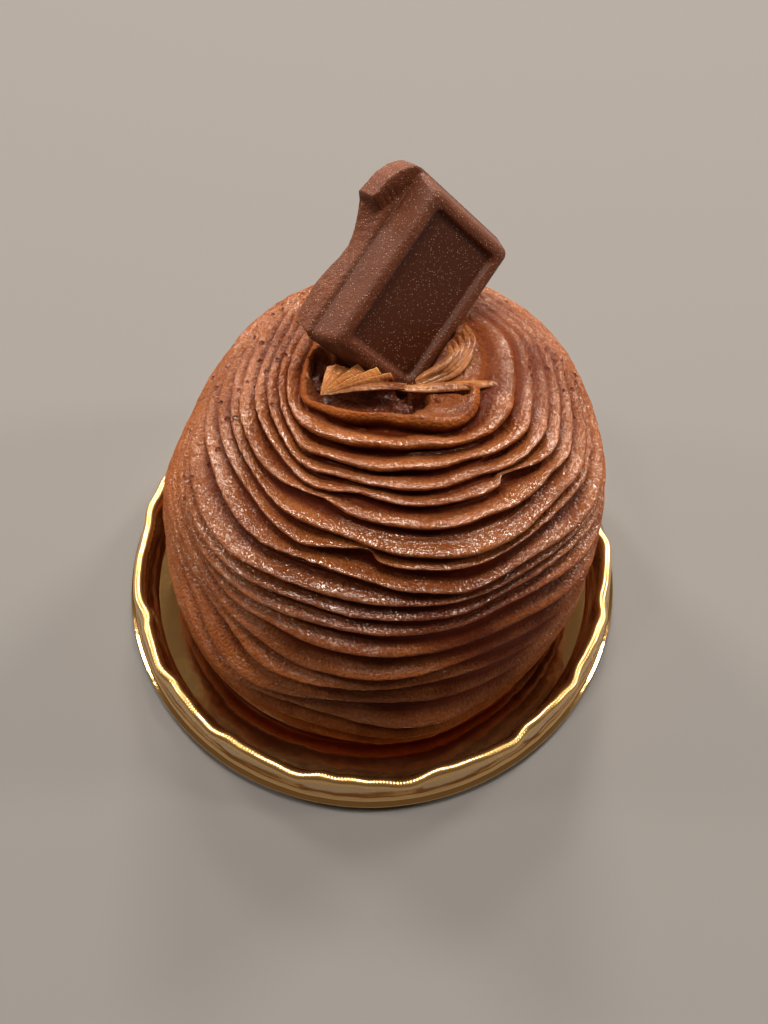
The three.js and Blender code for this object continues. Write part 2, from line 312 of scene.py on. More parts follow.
def cream_material(c, name, pore, lit):
    """Chocolate butter cream, piped: soft and moist, dragged along the ridges, with fine pores and a gloss.

    pore is the depth of the pores in millimetres and lit the colour of the ridge edges, painted light,
    to which the colour runs from painted shade in the grooves. Where the surface is marked as porous it is
    lumpy, with open holes painted darker as shade. The gloss is a wet coat of small facets, as strong as the
    mark for sheen, and gives the eye its sparkle, and a faint sheen is painted into the colour there too.
    """
    material, tree, output = blank(name)
    here = add(tree, "ShaderNodeTexCoord").outputs["Object"]
    sheet = add(tree, "ShaderNodeUVMap", uv_map="sheet").outputs["UV"]
    crest, porous, sheen = (
        add(tree, "ShaderNodeAttribute", attribute_name=mark).outputs["Fac"]
        for mark in ("crest", "porous", "sheen")
    )
    # Lines of the drag and finer hairs, in millimetres of the sheet
    drag, drawn = (
        add(tree, "ShaderNodeMapping", {"Vector": sheet, "Scale": scale}).outputs["Vector"]
        for scale in ((0.3, 2.0, 1.0), (1.1, 4.0, 1.0))
    )
    streaks, hairs = (
        add(tree, "ShaderNodeTexNoise", {"Vector": line, "Scale": 1.0, "Detail": 2.0}).outputs["Fac"]
        for line in (drag, drawn)
    )
    # The facets that glint are finer than 0.5 mm on real cream, and are drawn as coarse as they need to show
    patches, pores, lumps, glints = (
        add(tree, "ShaderNodeTexNoise", {"Vector": here, "Scale": per_mm(mm), "Detail": steps}).outputs["Fac"]
        for mm, steps in ((7.0, 4.0), (0.45, 2.0), (1.1, 3.0), (0.5, 1.0))
    )
    # One hole in seven of a scatter 1.3 mm apart is open
    scatter = add(tree, "ShaderNodeTexVoronoi", {"Vector": here, "Scale": per_mm(1.3)})
    chance = add(tree, "ShaderNodeSeparateColor", {"Color": scatter.outputs["Color"]}).outputs["Red"]
    chosen = calc(tree, "GREATER_THAN", chance, 0.85)
    open_here = calc(tree, "MULTIPLY", chosen, porous)
    spot = add(tree, "ShaderNodeMapRange", {
        "Value": scatter.outputs["Distance"], "From Min": 0.36, "From Max": 0.16,
    }).outputs["Result"]
    hole = calc(tree, "MULTIPLY", open_here, spot)
    # The colour runs from painted shade in the grooves to painted light on the ridge edges, in soft patches
    # and a fine grain; open holes are painted darker, as shade in them
    height = calc(tree, "ADD", crest, patches)
    sunk = calc(tree, "SUBTRACT", height, hole)
    grainy = calc(tree, "MULTIPLY_ADD", pores, 0.4, sunk)
    level = add(tree, "ShaderNodeMapRange", {"Value": grainy, "From Min": 0.7, "From Max": 1.75})
    ramp = add(tree, "ShaderNodeValToRGB", {"Fac": level.outputs["Result"]})
    ramp.color_ramp.elements[0].color = (*c.groove, 1)
    ramp.color_ramp.elements[1].color = (*lit, 1)
    ramp.color_ramp.elements.new(0.5).color = (*c.body, 1)
    # A faint painted sheen lies on the ledges in hairs and painted glints,
    # and drifts with the patches as the gloss does
    streak, spark, drift, wet = (
        add(tree, "ShaderNodeMapRange", {
            "Value": value, "From Min": start, "From Max": end, "To Min": low, "To Max": high,
        }).outputs["Result"]
        for value, start, end, low, high in (
            (hairs, 0.4, 0.65, 0.0, 0.12), (glints, 0.55, 0.62, 0.0, 0.12),
            (patches, 0.35, 0.62, 0.45, 1.0), (glints, 0.4, 0.6, 0.5, 1.0),
        )
    )
    painted_sheen_grain = calc(tree, "ADD", streak, spark)
    shine = calc(tree, "MULTIPLY", sheen, drift)
    share = calc(tree, "MULTIPLY", painted_sheen_grain, shine)
    base = add(tree, "ShaderNodeMix", {"Factor": share}, data_type="RGBA")
    tree.links.new(ramp.outputs["Color"], base.inputs["A"])
    base.inputs["B"].default_value = (*c.sheen, 1)
    gloss = calc(tree, "MULTIPLY", wet, shine)
    # Relief from coarse to fine: dragged lines, lumps and holes, then pores below the coat and facets on it
    lumpy = calc(tree, "MULTIPLY", lumps, porous)
    pitted = calc(tree, "SUBTRACT", lumpy, hole)
    # The pores are deeper towards the ridge edges, by the crest mark that also carries the painted light
    on_crest = add(tree, "ShaderNodeMapRange", {"Value": crest, "To Min": 0.25, "To Max": 1.0}).outputs["Result"]
    fine = calc(tree, "MULTIPLY", pores, on_crest)
    lines = add(tree, "ShaderNodeBump", {"Height": streaks, "Strength": 0.5, "Distance": 0.3 * MM})
    holes = add(tree, "ShaderNodeBump", {
        "Height": pitted, "Strength": 1.0, "Distance": 0.5 * MM, "Normal": lines.outputs["Normal"],
    })
    pits, facets = (
        add(tree, "ShaderNodeBump", {
            "Height": relief, "Strength": 1.0, "Distance": deep * MM, "Normal": holes.outputs["Normal"],
        })
        for relief, deep in ((fine, pore), (glints, 0.68 * pore))
    )
    shader = add(tree, "ShaderNodeBsdfPrincipled", {
        "Base Color": base.outputs["Result"],
        "Roughness": 0.5,
        "IOR": 1.15,
        "Subsurface Weight": 0.3,
        "Subsurface Radius": (1.0, 0.35, 0.12),
        "Subsurface Scale": 1.0 * MM,
        "Normal": pits.outputs["Normal"],
        "Coat Weight": gloss,
        "Coat Roughness": 0.13,
        "Coat IOR": 2.0,
        "Coat Normal": facets.outputs["Normal"],
    })
    tree.links.new(shader.outputs["BSDF"], output.inputs["Surface"])
    return material


def chocolate_material(c):
    """Moulded milk chocolate: satin, paler and grainy at the break, rim and bevel, with fine pale specks.

    The pale of the break is partly its own and partly painted light, that of the rim and bevel is painted
    highlight, the panel is darker by painted shade, and the specks are painted glints.
    """
    material, tree, output = blank("moulded milk chocolate")
    here = add(tree, "ShaderNodeTexCoord").outputs["Object"]
    crest = add(tree, "ShaderNodeAttribute", attribute_name="crest").outputs["Fac"]
    grit, clouds = (
        add(tree, "ShaderNodeTexNoise", {"Vector": here, "Scale": per_mm(mm), "Detail": steps}).outputs["Fac"]
        for mm, steps in ((0.22, 2.0), (4.0, 3.0))
    )
    # The paler colour is mixed in by the mark: partly the break's own, partly painted light and highlight
    share = calc(tree, "MULTIPLY", crest, clouds)
    mixed = add(tree, "ShaderNodeMix", {"Factor": share}, data_type="RGBA")
    mixed.inputs["A"].default_value = (*c.brown, 1)
    mixed.inputs["B"].default_value = (*c.broken_and_lit, 1)
    # Painted glints: three specks in five of a scatter 0.28 mm apart are painted pale,
    # each of its own brightness
    scatter = add(tree, "ShaderNodeTexVoronoi", {"Vector": here, "Scale": per_mm(0.28)})
    chance = add(tree, "ShaderNodeSeparateColor", {"Color": scatter.outputs["Color"]}).outputs["Red"]
    bright, spot = (
        add(tree, "ShaderNodeMapRange", {"Value": value, "From Min": low, "From Max": high}).outputs["Result"]
        for value, low, high in ((chance, 0.4, 1.1), (scatter.outputs["Distance"], 0.3, 0.14))
    )
    speck = calc(tree, "MULTIPLY", bright, spot)
    base = add(tree, "ShaderNodeMix", {"Factor": speck}, data_type="RGBA")
    tree.links.new(mixed.outputs["Result"], base.inputs["A"])
    base.inputs["B"].default_value = (*c.painted_glint, 1)
    rough = add(tree, "ShaderNodeMapRange", {"Value": grit, "To Min": 0.3, "To Max": 0.55})
    relief = calc(tree, "MULTIPLY", grit, crest)
    grainy = add(tree, "ShaderNodeBump", {"Height": relief, "Strength": 1.0, "Distance": 0.2 * MM})
    bump = add(tree, "ShaderNodeBump", {
        "Height": speck, "Strength": 0.6, "Distance": 0.1 * MM, "Normal": grainy.outputs["Normal"],
    })
    shader = add(tree, "ShaderNodeBsdfPrincipled", {
        "Base Color": base.outputs["Result"],
        "Roughness": rough.outputs["Result"],
        "IOR": 1.35,
        "Normal": bump.outputs["Normal"],
    })
    tree.links.new(shader.outputs["BSDF"], output.inputs["Surface"])
    return material


# Turn at which one of the tray's scallops starts, and how far their spacing wanders
LOBE_START = math.radians(-100.5)
LOBE_WANDER = math.radians(3.3)
# How far the crest dips at a scallop's end, and the depth of the small dents, in millimetres
LOBE_DIP = 0.3
DENT_DEPTH = 0.04
# Points round the tray and along its section, further apart on the floor than in the rim
TRAY_COLUMNS = 720
TRAY_FLOOR_ROWS = np.linspace(0, 33, 9)
TRAY_RIM_START = 33.4
TRAY_RIM_ROWS = 52


def tray_points(c):
    """Foil sheet turned round the axis.

    The section is a spline along the floor's upper side, up the wall, over the crest and down the skirt to
    the lip, and its offset by the sheet's thickness back along the underside. The crest's radius grows along
    each scallop and steps back in at its end, a sawtooth of three sines, and it dips there. The whole is
    slightly oval.
    """
    edge = c.edge_radius / MM
    crest = c.crest_radius / MM
    top = c.crest_height / MM
    floor = c.floor_radius / MM
    level = c.floor_sheet / MM
    sheet = c.sheet / MM
    # Radius, height and share of the scallop
    section = spline([
        (0.5, level, 0), (floor * 0.5, level, 0), (floor - 1.6, level, 0), (floor - 0.4, level + 0.25, 0),
        (floor + 0.1, level + 1.4, 0), (floor + 0.45, top - 3.2, 0.15), (crest - 1.2, top - 1.2, 0.7),
        (crest - 0.75, top - 0.3, 0.95), (crest, top, 1), (crest + 0.7, top - 0.4, 0.95),
        (crest + 0.95, top - 1.3, 0.7), (crest + 0.95, top - 2.7, 0.25), (edge - 0.95, 3.2, 0),
        (edge - 0.75, 2.35, 0), (edge - 0.45, 1.9, 0), (edge, 1.75, 0),
    ])
    rim_rows = np.linspace(TRAY_RIM_START, run_length(section)[-1], TRAY_RIM_ROWS)
    upper = along(section, np.concatenate([TRAY_FLOOR_ROWS, rim_rows]))
    across = np.gradient(upper[:, :2], axis=0)
    across = np.stack([across[:, 1], -across[:, 0]], -1) / np.linalg.norm(across, axis=1)[:, None]
    thick = sheet + (level - sheet) * smooth(floor + 0.4, floor - 0.8, upper[:, 0])
    under = upper.copy()
    under[:, :2] += across * thick[:, None]
    under[:, 1] = np.maximum(under[:, 1], 0)
    lip = np.array([[edge + 0.14, 1.62, 0], [edge + 0.08, 1.44, 0]])
    rim = np.vstack([under, lip[::-1], upper[::-1]])
    turn = np.linspace(0, TAU, TRAY_COLUMNS, endpoint=False)[None, :]
    radius, height, share = (rim[:, k, None] for k in range(3))
    part = (turn - LOBE_WANDER * np.sin(3 * (turn + 1.4)) - LOBE_START) * c.lobes
    saw = -0.4 * (np.sin(part) + 0.42 * np.sin(2 * part) + 0.15 * np.sin(3 * part))
    size = 1 + 0.2 * ripple(turn, 0, 6, 5, (1, 5), 30.0)
    dents = ripple(turn, height, 5, 9, (5, 60), 30.0) * smooth(floor - 1, floor + 1, radius)
    dents = dents * smooth(edge - 0.4, edge - 1.4, radius)
    oval = 1 + c.oval * np.cos(2 * (turn - 1.07))
    radius = radius * oval + share * c.lobe_depth / MM * saw * size + DENT_DEPTH * dents
    height = np.maximum(height - share * LOBE_DIP * np.cos(part) * size, 0)
    points = np.stack([radius * np.cos(turn), radius * np.sin(turn), height], -1)
    return points, np.broadcast_to(share, points.shape[:2])


# Lower edges of the ridges, from the foot up: distance along the profile in millimetres at every ten degrees
# of turn from -160 to -20, the front being at -90. Round the back each runs straight from last to first.
RIDGE_EDGES = np.array([
    (3.2, 3.0, 2.8, 2.9, 3.1, 2.8, 2.2, 1.9, 1.8, 1.7, 1.6, 1.5, 1.5, 1.5, 1.5),
    (10.2, 9.9, 9.6, 9.0, 8.6, 8.1, 6.9, 5.9, 5.6, 5.4, 5.2, 5.0, 5.0, 5.0, 5.0),
    (17.2, 16.8, 16.0, 15.1, 14.4, 13.0, 11.8, 10.8, 10.4, 10.2, 10.0, 9.8, 9.6, 9.4, 9.2),
    (21.2, 20.8, 20.3, 19.0, 17.4, 17.0, 17.7, 17.7, 17.7, 17.2, 16.4, 15.6, 15.0, 14.6, 14.2),
    (25.3, 25.1, 24.8, 24.0, 22.5, 22.3, 22.9, 23.4, 23.6, 23.0, 22.0, 21.0, 20.2, 19.6, 19.2),
    (28.4, 28.0, 27.5, 26.6, 25.8, 25.3, 26.2, 26.6, 26.7, 26.6, 26.2, 25.6, 25.0, 24.4, 24.0),
    (31.2, 30.8, 30.5, 30.5, 31.6, 31.7, 31.6, 31.3, 31.0, 30.3, 30.0, 29.8, 29.4, 28.8, 28.2),
    (33.2, 32.6, 32.8, 33.7, 34.8, 35.3, 35.1, 34.9, 34.8, 34.6, 35.0, 34.6, 33.8, 32.8, 32.0),
    (36.0, 35.5, 35.7, 36.7, 37.6, 37.9, 37.7, 37.6, 37.4, 37.3, 37.6, 37.2, 36.6, 35.8, 35.0),
    (38.8, 38.4, 38.6, 39.6, 40.2, 40.4, 40.4, 40.1, 39.9, 39.6, 39.4, 39.2, 38.6, 37.9, 37.2),
    (43.0, 42.9, 43.0, 43.2, 43.9, 44.4, 44.0, 42.8, 42.2, 41.3, 41.4, 41.3, 40.6, 39.8, 39.0),
    (46.0, 46.0, 46.0, 45.9, 46.0, 47.0, 47.3, 46.0, 45.4, 45.0, 44.8, 44.6, 44.6, 44.2, 43.4),
    (48.4, 48.2, 48.1, 48.3, 48.7, 49.0, 48.6, 47.8, 47.5, 47.0, 46.7, 46.5, 46.6, 46.2, 45.4),
    (50.3, 50.1, 50.5, 51.5, 52.2, 51.8, 51.6, 51.5, 51.3, 51.2, 51.1, 50.5, 50.0, 49.7, 48.7),
    (52.7, 52.7, 52.7, 52.8, 53.5, 54.5, 54.5, 54.3, 54.2, 54.1, 53.8, 53.9, 53.3, 52.2, 51.3),
    (54.4, 54.4, 54.3, 54.7, 55.5, 56.0, 56.4, 56.3, 56.3, 56.3, 56.1, 55.5, 55.0, 54.5, 53.8),
    (55.9, 56.0, 56.0, 56.9, 57.5, 58.2, 58.7, 59.0, 58.9, 58.8, 58.6, 58.0, 57.5, 56.9, 56.7),
    (57.3, 57.6, 58.3, 59.4, 60.3, 61.3, 61.8, 61.9, 61.9, 61.6, 61.1, 60.5, 60.0, 59.9, 59.7),
    (59.2, 60.5, 61.7, 63.0, 64.2, 65.0, 65.4, 65.4, 64.9, 64.3, 63.7, 63.2, 63.3, 64.0, 64.6),
])
# Lift of the edges above the table in millimetres: near the crown, and more for each millimetre below that
EDGE_LIFT = 0.5
EDGE_LIFT_GROWTH = 0.006
EDGE_LIFT_FROM = 62
# Breaks in the edges: ridge, turn in degrees and rise in millimetres, then half their width and their ease
RIDGE_STEPS = [(14, 310, 1.0), (11, 262, -0.9)]
STEP_HALF = 1.8
STEP_EASE = 9
# Share of the way up a ridge at which rows of points are set, close together at its edge
RIDGE_SHARES = np.array([
    0, 0.03, 0.07, 0.12, 0.18, 0.25, 0.32, 0.39, 0.46, 0.53, 0.61, 0.69, 0.77, 0.86, 0.94,
])
# Shares of the way up where a ridge's rounded edge ends, and where it comes out again under the next edge
EDGE_END = 0.08
UNDER_START = 0.93
# Thin ridges between two edges: the edge below, the share of the way up, and the turns in degrees they span
THIN_RIDGES = [(12, 0.5, 248, 325), (9, 0.6, 212, 274), (16, 0.72, 270, 310)]
# Place where the ridges are smeared flat: turn in degrees and distance up the profile, and its half sizes
SMEAR_AT = (304, 24)
SMEAR_HALF = (26, 15)
# Darker band across the front, painted shade: distance up the profile and half height
BAND_AT = 38
BAND_HALF = 6
# Lump on the right shoulder: turn, distance up the profile, radius there, half sizes and height
LUMP_TURN = 0.36
LUMP_AT = 50
LUMP_RADIUS = 24
LUMP_HALF = (1.9, 1.6)
LUMP_HEIGHT = 0.9
# Crater of the crown in millimetres: the shelf line that ends it behind, with a slanting step, the x where it
# fades out, and the bowed wall between its deep left and its shallow right
SHELF_LEFT = 1.0
SHELF_STEP_AT = 3
SHELF_STEP_SLOPE = 2.4
SHELF_RIGHT = -1.9
SHELF_RIGHT_SLOPE = 0.155
CRATER_END = (12.8, 10.8)
WALL_AT = 4.7
WALL_BOW = 1.8
WALL_FRONT = -4.6
WALL_LENGTH = 4.3
CRATER_DEPTH = 3.3
BLOB_DEPTH = 0.7
# Hollows and lumps of the crown: centre, half sizes and depth in millimetres
CROWN_FORMS = [
    ((-8.0, 2.9), (1.9, 3.0), 3.4), ((-4.2, 2.8), (4.2, 1.5), 3.0), ((2.2, 3.2), (3.0, 2.6), 3.4),
    ((8.4, -2.8), (3.3, 2.1), -0.6), ((7.62, -2.6), (0.45, 0.45), 0.9), ((11.3, -1.1), (1.0, 0.8), 1.6),
    ((3.2, -2.0), (1.8, 1.0), -1.0),
]
# Pit in which the chocolate piece stands: its line, depth at the start, rise along it and half widths
PIT_LINE = np.array([(3.7, 1.1), (9.0, 7.6)])
PIT_DEPTH = 5.6
PIT_RISE = 4.6
PIT_HALF = (2.2, 1.1)
FOOT_ROWS = 4
CROWN_ROWS = 36


def edge_lines(turn):
    """Distance up the profile of each ridge edge at each turn: a closed Catmull-Rom curve of the table."""
    share = np.linspace(0, 1, 23)[1:-1]
    back = RIDGE_EDGES[:, -1:] + (RIDGE_EDGES[:, :1] - RIDGE_EDGES[:, -1:]) * share
    knots = np.hstack([RIDGE_EDGES, back])
    place = np.degrees(turn + TAU) % 360 / 10 - 20
    cell = np.floor(place).astype(int)
    t = place - cell
    before, start, end, after = (knots[:, (cell + k) % 36] for k in (-1, 0, 1, 2))
    bend = 2 * before - 5 * start + 4 * end - after
    twist = 3 * start - before - 3 * end + after
    return start + 0.5 * t * (end - before + t * (bend + t * twist))


def ridge_rows(turn, total):
    """Rows of points up the profile: a few at the foot, those that follow the ridge edges, and the crown's.

    Gives the edges, and for the rows their distance up the profile, their share of the way to the next edge,
    the gap between the two edges and the number of the ridge.
    """
    edges = edge_lines(turn[0])
    level = np.arange(len(edges))[:, None]
    edges = edges + EDGE_LIFT + EDGE_LIFT_GROWTH * (EDGE_LIFT_FROM - edges)
    edges = edges + 0.07 * ripple(turn, level, 11, 14, (3, 12), 3.0)
    edges = edges + 0.018 * ripple(turn, level, 13, 30, (30, 80), 1.0)
    for ridge, degrees, jump in RIDGE_STEPS:
        away = np.degrees(turn[0]) - degrees
        edges[ridge] += jump * (smooth(-STEP_HALF, STEP_HALF, away) - 0.5) * np.exp(-(away / STEP_EASE) ** 2)
    last = len(edges) - 1
    count = len(RIDGE_SHARES)
    part = np.concatenate([np.tile(RIDGE_SHARES, last), [0]])[:, None]
    gaps = np.repeat(np.diff(edges, axis=0), count, axis=0)
    rows = np.vstack([np.repeat(edges[:-1], count, axis=0) + gaps * part[:-1], edges[-1:]])
    foot = np.linspace(0, 1, FOOT_ROWS + 1)[:-1, None] * rows[:1]
    crown = rows[-1:] + (total - rows[-1:]) * np.linspace(0, 0.995, CROWN_ROWS + 1)[1:, None]
    run = np.vstack([foot, rows, crown])
    foot_part = np.linspace(0.8, 1, FOOT_ROWS + 1)[:-1, None]
    crown_part = np.linspace(0, 1, CROWN_ROWS + 1)[1:, None]
    part = np.vstack([foot_part, part, crown_part])
    crown_gaps = np.full((CROWN_ROWS, CREAM_COLUMNS), 3.0)
    gaps = np.vstack([gaps[:1].repeat(FOOT_ROWS, 0), gaps, gaps[-1:], crown_gaps])
    ridge = np.repeat(np.arange(last), count)
    index = np.concatenate([np.full(FOOT_ROWS, -1), ridge, np.full(CROWN_ROWS + 1, last)])[:, None]
    return edges, run, part, gaps, index


def ridge_section(turn, run, part, gaps, index):
    """Section of a ridge by the share of the way from its edge to the next.

    It stands out most just above its edge, falls back along a ledge, deepest just below the next edge, and
    comes out again under that one. Thin ridges lie on some ledges. Gives how far it stands out and hangs
    down, from 0 to about 1, its colour mark of painted light on the edges and painted shade in the grooves,
    and its mark for the gloss and the painted sheen on the ledges.
    """
    ledge = 0.44 + 0.26 * smooth(10, 15, index) + 0.06 * ripple(turn, run, 23, 10, (2, 9), 6.0)
    edge = 0.85 + 0.15 * smooth(0, EDGE_END, part)
    fall = 1 - 0.85 * smooth(0.1, ledge, part) - 0.15 * smooth(ledge, 0.88, part)
    under = 0.85 * np.clip((part - UNDER_START) / (1 - UNDER_START), 0, 1)
    rib = np.where(part < EDGE_END, edge, np.where(part < UNDER_START, fall, under))
    hang = np.where(part < 0.5, 1 - smooth(0, 0.5, part), smooth(0.9, 1, part))
    thin = 0.4 * smooth(-0.2, 0.8, ripple(turn, np.cumsum(gaps, 0), 22, 9, (1, 5), 11.0))
    thin = thin * np.exp(-((part - 0.72) / 0.07) ** 2)
    degrees = np.degrees(turn)
    for ridge, share, begin, finish in THIN_RIDGES:
        span = smooth(begin - 4, begin + 4, degrees) * smooth(finish + 4, finish - 4, degrees)
        thin = np.where(index == ridge, span * np.exp(-((part - share) / 0.08) ** 2), thin)
    # Painted light and shade: the colour mark is high on the edge and its ledge, low in the groove below the
    # next edge where shade falls, and raised on the thin ridges. The sheen mark sets the gloss and the
    # painted sheen just above the edge
    mark = np.where(part < UNDER_START, 1 - smooth(0.24, ledge + 0.1, part), 0.6 * under) + 0.5 * thin
    sheen = smooth(0.05, 0.13, part) * (1 - smooth(0.16, ledge, part)) + 0.6 * thin
    return rib + 0.3 * thin, hang, mark, sheen


def crown_dip(x, y, inward, near):
    """Depth of the crown's hollows at each point.

    The crater lies inside the last edge and in front of the shelf line, deep left of a bowed wall and shallow
    right of it. Oval hollows and lumps are added to it. A pit along a line holds where it is deeper.
    """
    step = SHELF_LEFT - SHELF_STEP_SLOPE * (x - SHELF_STEP_AT)
    shelf = np.where(x < SHELF_STEP_AT, SHELF_LEFT, np.maximum(SHELF_RIGHT + SHELF_RIGHT_SLOPE * x, step))
    inside = smooth(0.5, 3.2, inward) * smooth(0, 0.6, shelf - y) * smooth(*CRATER_END, x)
    wall = x - WALL_AT - WALL_BOW * np.sin(np.clip((y - WALL_FRONT) / WALL_LENGTH, 0, 1) * math.pi)
    dip = inside * (BLOB_DEPTH + (CRATER_DEPTH - BLOB_DEPTH) * smooth(0.45, -0.45, wall))
    for centre, half, sink in CROWN_FORMS:
        within = 1 - ((x - centre[0]) / half[0]) ** 2 - ((y - centre[1]) / half[1]) ** 2
        dip = dip + near * sink * smooth(0, 0.45, within)
    start = PIT_LINE[0]
    line = PIT_LINE[1] - PIT_LINE[0]
    reach = np.clip(((x - start[0]) * line[0] + (y - start[1]) * line[1]) / np.sum(line ** 2), 0, 1)
    away = np.hypot(x - start[0] - reach * line[0], y - start[1] - reach * line[1])
    return np.maximum(dip, (PIT_DEPTH - PIT_RISE * reach) * smooth(*PIT_HALF, away))


def dome_points(c):
    """Dome of stacked ridges: the profile turned round a leaning axis and pushed out along its normal.

    The ridges are deepest at the front, fade to the foot, the crown and the smear, and are uneven. Each edge
    hangs down along the profile by its droop. On the crown the height is lowered by the hollows.
    """
    curve = spline(CREAM_PROFILE)
    total = run_length(curve)[-1]
    turn = np.linspace(0, TAU, CREAM_COLUMNS, endpoint=False)[None, :]
    edges, run, part, gaps, index = ridge_rows(turn, total)
    rib, hang, mark, sheen = ridge_section(turn, run, part, gaps, index)
    facing = -np.sin(turn)
    front = smooth(-0.25, 0.75, -np.sin(turn + 0.05))
    aside = (np.degrees(turn) - SMEAR_AT[0]) / SMEAR_HALF[0]
    smear = np.exp(-aside ** 2 - ((run - SMEAR_AT[1]) / SMEAR_HALF[1]) ** 2)
    crown = run > edges[-1:] + 1
    full = c.depth / MM
    uneven = 1 + 0.2 * ripple(turn, run, 21, 12, (1, 7), 12.0)
    depth = full * ((0.62 + 0.38 * front) * (1 - 0.75 * smear) * uneven) * np.clip(gaps / 2.4, 0.5, 1.3)
    depth = depth * smooth(0, 3, run) * smooth(total - 4, total - 9, run) * (0.55 + 0.45 * smooth(4, 14, run))
    # High up, the ridges are kept at the front and on the left and fade elsewhere
    kept = np.maximum(smooth(0.15, 0.5, facing), smooth(0, -0.4, np.cos(turn)))
    depth = depth * (1 - (1 - kept) * np.interp(index, [11, 17], [0.2, 0.9]))
    # The painted light and shade fades where the ridges are shallow and is even on the crown, and the colour
    # is darker where the ridges are smeared
    mark = 0.65 + (mark - 0.65) * np.clip(depth / (0.6 * full), 0.15, 1)
    mark = np.where(crown, 0.8, mark) - 0.35 * smear
    # Painted shade: a darker band across the front
    mark = mark - 0.35 * smooth(0.5, 0.95, facing) * np.exp(-((run - BAND_AT) / BAND_HALF) ** 2)
    swell = 0.3 * ripple(turn, run, 31, 12, (2, 7), 22.0)
    lift = depth * (rib - 0.55) + swell * smooth(0, 8, run) * smooth(total, total - 14, run)
    aside = (turn - LUMP_TURN) * LUMP_RADIUS / LUMP_HALF[0]
    lift = lift + LUMP_HEIGHT * np.exp(-(aside ** 2 + ((run - LUMP_AT) / LUMP_HALF[1]) ** 2))
    lift = lift + 0.04 * grain(*run.shape, 41, 2) * smooth(0, 2, run)
    droop = c.droop / MM * hang * depth / full
    base = along(curve, run)
    rising = np.gradient(curve, run_length(curve), axis=0)
    slope = np.stack([np.interp(run, run_length(curve), axis) for axis in rising.T], -1)
    radius = np.maximum(base[..., 0] + lift * slope[..., 1] - droop * slope[..., 0], 0.02)
    height = np.maximum(base[..., 1] - lift * slope[..., 0] - droop * slope[..., 1], c.floor / MM)
    rise = height / (c.top / MM)
    lean = CREAM_CROWN - CREAM_FOOT
    x = CREAM_FOOT[0] + lean[0] * rise + radius * np.cos(turn)
    y = CREAM_FOOT[1] + lean[1] * rise + radius * np.sin(turn)
    dip = crown_dip(x, y, run - edges[-1:], smooth(17, 13, base[..., 0]))
    # Painted shade: the colour is darker down in the crown's hollows
    mark = mark - 0.7 * smooth(1.2, 3.0, dip)
    porous = smooth(0.45, 0.1, facing) * smooth(18, 34, run) * smooth(total - 14, total - 20, run)
    sheen = sheen * smooth(5, 12, run) * (0.42 + 0.58 * smooth(31, 44, run))
    sheen = sheen * (0.6 + 0.4 * front) * (1 - 0.6 * smear)
    sheen = np.maximum(np.where(crown, 0.5, sheen), 0.25 * porous)
    return np.stack([x, y, height - dip], -1), {"crest": mark, "porous": porous, "sheen": sheen}, total


# Fan on the crown: its tip, and the ends of its ridges and valleys from left to right, in millimetres
FAN_TIP = np.array([-7.9, -2.85, 56.0])
FAN_ENDS = np.array([
    (-7.1, 1.25, 57.0), (-5.9, 1.3, 57.5), (-4.6, 1.2, 57.1), (-3.7, 1.1, 56.5), (-3.03, 1.45, 57.6),
    (-1.6, 0.8, 56.3), (-0.47, 1.07, 57.5), (0.66, 0.25, 56.0), (1.38, 0.54, 57.1), (2.0, 0.1, 55.9),
    (3.6, -0.5, 56.25), (3.7, -1.2, 55.9),
])
FAN_ROWS = 60
FACET_COLUMNS = 12


def fan_points():
    """End of the piped ribbon, a fan: flat facets from the tip to a toothed edge, with an underside below."""
    last = len(FAN_ENDS) - 1
    across = np.linspace(0, last, FACET_COLUMNS * last + 1)
    edge = np.stack([np.interp(across, np.arange(last + 1), axis) for axis in FAN_ENDS.T], -1)[None]
    reach = np.linspace(0.03, 1, FAN_ROWS)[:, None, None]
    top = FAN_TIP + reach * (edge - FAN_TIP)
    top[..., 2] += 0.5 * np.sin(math.pi * reach[..., 0]) + 0.03 * grain(*top.shape[:2], 61, 2)
    under = top.copy()
    under[..., 2] -= 0.25 + 0.9 * reach[..., 0] * smooth(last, last - 3, across)
    loop = np.concatenate([top, under[:, ::-1]], axis=1)
    # Painted shade: the mark is lower, the colour darker, along the valleys of the pleats, and lowest on the
    # underside
    pleat = 0.6 + 0.4 * smooth(56.2, 57.1, edge[..., 2]) + 0 * reach[..., 0]
    mark = np.concatenate([pleat, np.full(top.shape[:2], 0.2)], axis=1)
    return loop, mark


